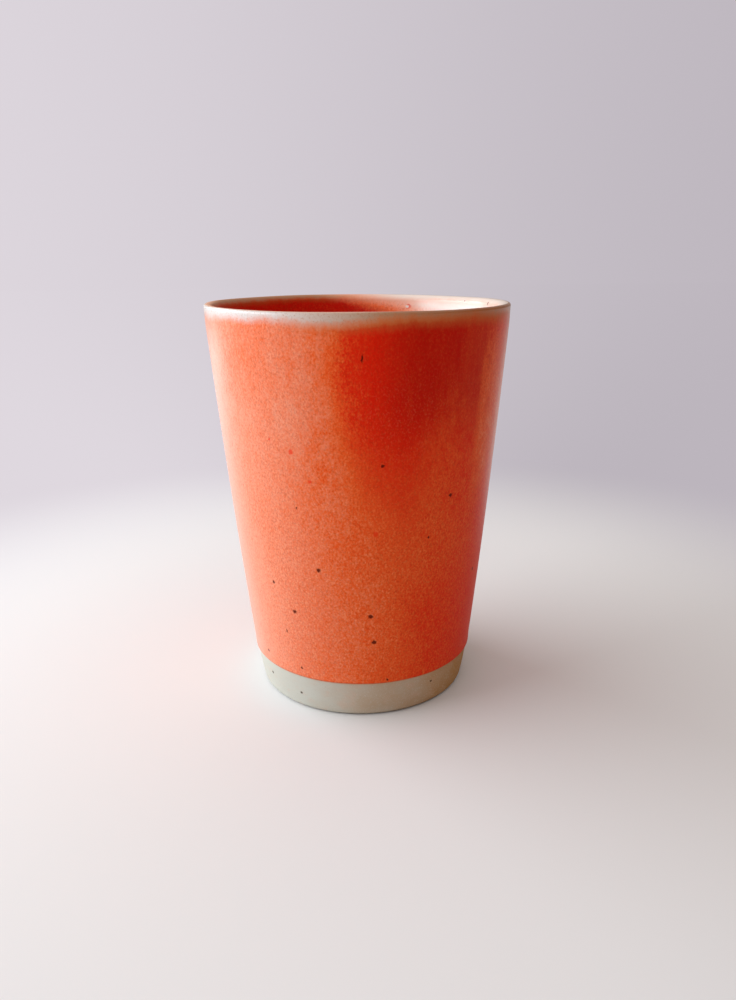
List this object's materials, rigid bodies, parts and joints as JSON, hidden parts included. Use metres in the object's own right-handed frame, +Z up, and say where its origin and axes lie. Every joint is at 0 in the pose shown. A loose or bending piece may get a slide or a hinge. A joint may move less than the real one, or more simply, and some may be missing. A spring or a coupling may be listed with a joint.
{
  "type": "coffee cup",
  "caption": "Handleless stoneware coffee cup with a tapering wall, a rounded lip, red glaze inside and out, and a bare turned foot.",
  "frame": {"origin": "middle of the foot, on the plane that the cup stands on", "axes": "+Z up along the cup's axis of turning, from the foot to the mouth; X and Y are alike, because the cup is round"},
  "size_m": [0.079, 0.079, 0.105],
  "materials": {
    "stoneware": "bare fired stoneware, matt, warm grey with a fine grain and a few dark iron specks",
    "outer_red_glaze": "glossy iron red to orange glaze, finely mottled and specked, that breaks to tan over the lip",
    "liner_red_glaze": "the same glaze inside, a little deeper in colour where it lies thicker"
  },
  "bodies": {
    "root": {"stoneware_body": "stoneware", "outer_glaze": "outer_red_glaze", "liner_glaze": "liner_red_glaze"}
  },
  "joints": []
}
